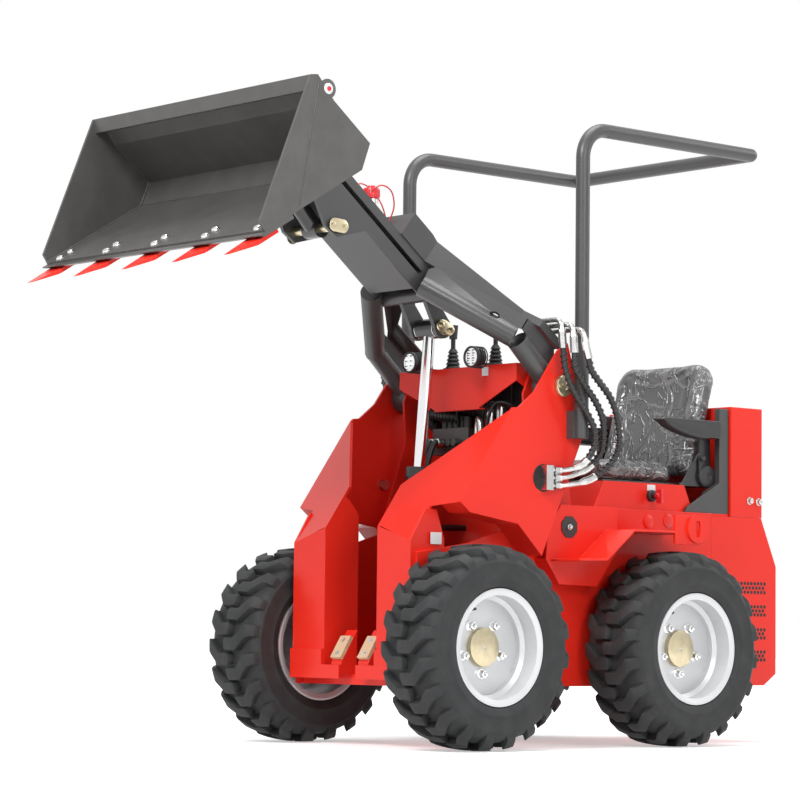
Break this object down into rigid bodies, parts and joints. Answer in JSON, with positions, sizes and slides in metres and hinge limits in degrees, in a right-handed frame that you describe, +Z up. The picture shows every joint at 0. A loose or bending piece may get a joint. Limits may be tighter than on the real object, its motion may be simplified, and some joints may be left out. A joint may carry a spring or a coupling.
{
  "type": "skid steer loader",
  "caption": "Compact ride-on skid steer loader with a raised wishbone boom, toothed bucket, roll-over hoop, lugged tyres and an open operator seat.",
  "frame": {"origin": "on the ground, under the middle of the length and width at the pose of the picture", "axes": "+X forward towards the bucket, +Y to the machine's left, +Z up"},
  "size_m": [2.3664, 1.01, 1.8489],
  "materials": {
    "red_paint": "glossy orange-red powder coat",
    "grey_paint": "satin dark grey paint",
    "bucket_paint": "satin warm grey paint, a little worn",
    "black_paint": "gloss black paint",
    "black_plastic": "matt black",
    "lamp_glass": "clear lens",
    "zinc_steel": "yellowish zinc plate",
    "wheel_silver": "silver paint",
    "rod_chrome": "hard chrome",
    "tyre_rubber": "black rubber",
    "hose_rubber": "black spiral-wrapped hose",
    "seat_vinyl": "dark grey vinyl",
    "pad_nylon": "beige nylon",
    "engine_iron": "dark cast iron"
  },
  "bodies": {
    "chassis": {"main_frame": "red_paint", "towers": "red_paint", "front_bumper": "red_paint", "boom_rest_pads": "pad_nylon", "console_cowl": "red_paint", "headlamps": "black_plastic", "headlamp_lenses": "lamp_glass", "control_levers": "black_plastic", "valve_block": "zinc_steel", "engine_block": "engine_iron", "floor_plates": "black_plastic", "seat_box": "red_paint", "seat_cushion": "seat_vinyl", "seat_back": "seat_vinyl", "armrests": "black_paint", "guard_frame": "grey_paint", "rops_hoop": "grey_paint", "rear_skirt": "red_paint", "rear_cover": "red_paint", "rear_fenders": "red_paint", "axle_stubs": "black_paint", "pivot_pins": "zinc_steel", "hose_bulkheads": "zinc_steel", "front_hoses": "hose_rubber", "side_hoses_left": "hose_rubber", "side_hoses_right": "hose_rubber", "isolator_switch": "black_plastic"},
    "wheel_fl": {"tyre_fl": "tyre_rubber", "rim_fl": "wheel_silver"},
    "wheel_fr": {"tyre_fr": "tyre_rubber", "rim_fr": "wheel_silver"},
    "wheel_rl": {"tyre_rl": "tyre_rubber", "rim_rl": "wheel_silver"},
    "wheel_rr": {"tyre_rr": "tyre_rubber", "rim_rr": "wheel_silver"},
    "boom": {"boom_frame": "grey_paint", "boom_cover": "grey_paint", "boom_pins": "zinc_steel", "boom_coupler": "zinc_steel", "tilt_barrel": "black_paint"},
    "hitch_pin": {"bucket_pin": "zinc_steel"},
    "bucket": {"bucket_shell": "bucket_paint", "cutting_edge": "bucket_paint", "bucket_teeth": "red_paint"},
    "lift_barrel": {"lift_barrel": "black_paint"},
    "lift_rod": {"lift_rod": "rod_chrome"},
    "tilt_rod": {"tilt_rod": "rod_chrome"}
  },
  "joints": [
    {"name": "wheel_fl_spin", "type": "hinge", "parent": "chassis", "child": "wheel_fl", "pos_m": [0.21685, 0.392, 0.292], "axis": [0, 1, 0], "continuous": true},
    {"name": "wheel_fr_spin", "type": "hinge", "parent": "chassis", "child": "wheel_fr", "pos_m": [0.21685, -0.392, 0.292], "axis": [0, 1, 0], "continuous": true},
    {"name": "wheel_rl_spin", "type": "hinge", "parent": "chassis", "child": "wheel_rl", "pos_m": [-0.58315, 0.392, 0.292], "axis": [0, 1, 0], "continuous": true},
    {"name": "wheel_rr_spin", "type": "hinge", "parent": "chassis", "child": "wheel_rr", "pos_m": [-0.58315, -0.392, 0.292], "axis": [0, 1, 0], "continuous": true},
    {"name": "boom_lift", "type": "hinge", "parent": "chassis", "child": "boom", "pos_m": [-0.14315, 0, 1.058], "axis": [0, -1, 0], "range_deg": [-96, 8], "deforming": ["side_hoses_left", "side_hoses_right"]},
    {"name": "bucket_level", "type": "hinge", "parent": "boom", "child": "hitch_pin", "pos_m": [0.69262, 0, 1.76253], "axis": [0, 1, 0], "range_deg": [-128, 11]},
    {"name": "bucket_tilt", "type": "hinge", "parent": "hitch_pin", "child": "bucket", "pos_m": [0.69262, 0, 1.76253], "axis": [0, 1, 0], "range_deg": [-28, 12]},
    {"name": "lift_swing", "type": "hinge", "parent": "chassis", "child": "lift_barrel", "pos_m": [0.13685, 0, 0.33], "axis": [0, -1, 0], "range_deg": [-1, 9]},
    {"name": "lift_slide", "type": "slide", "parent": "lift_barrel", "child": "lift_rod", "axis": [-0.0884, 0, 0.9961], "range_m": [-0.385, 0.033]},
    {"name": "tilt_slide", "type": "slide", "parent": "boom", "child": "tilt_rod", "axis": [0.6971, 0, 0.717], "range_m": [-0.013, 0.145]}
  ],
  "couplings": [
    {"joint": "bucket_level", "follows": "boom_lift", "ratio": 1.325},
    {"joint": "lift_swing", "follows": "boom_lift", "ratio": -0.0893},
    {"joint": "lift_slide", "follows": "boom_lift", "m_per_rad": 0.2292},
    {"joint": "tilt_slide", "follows": "boom_lift", "m_per_rad": -0.0859}
  ]
}
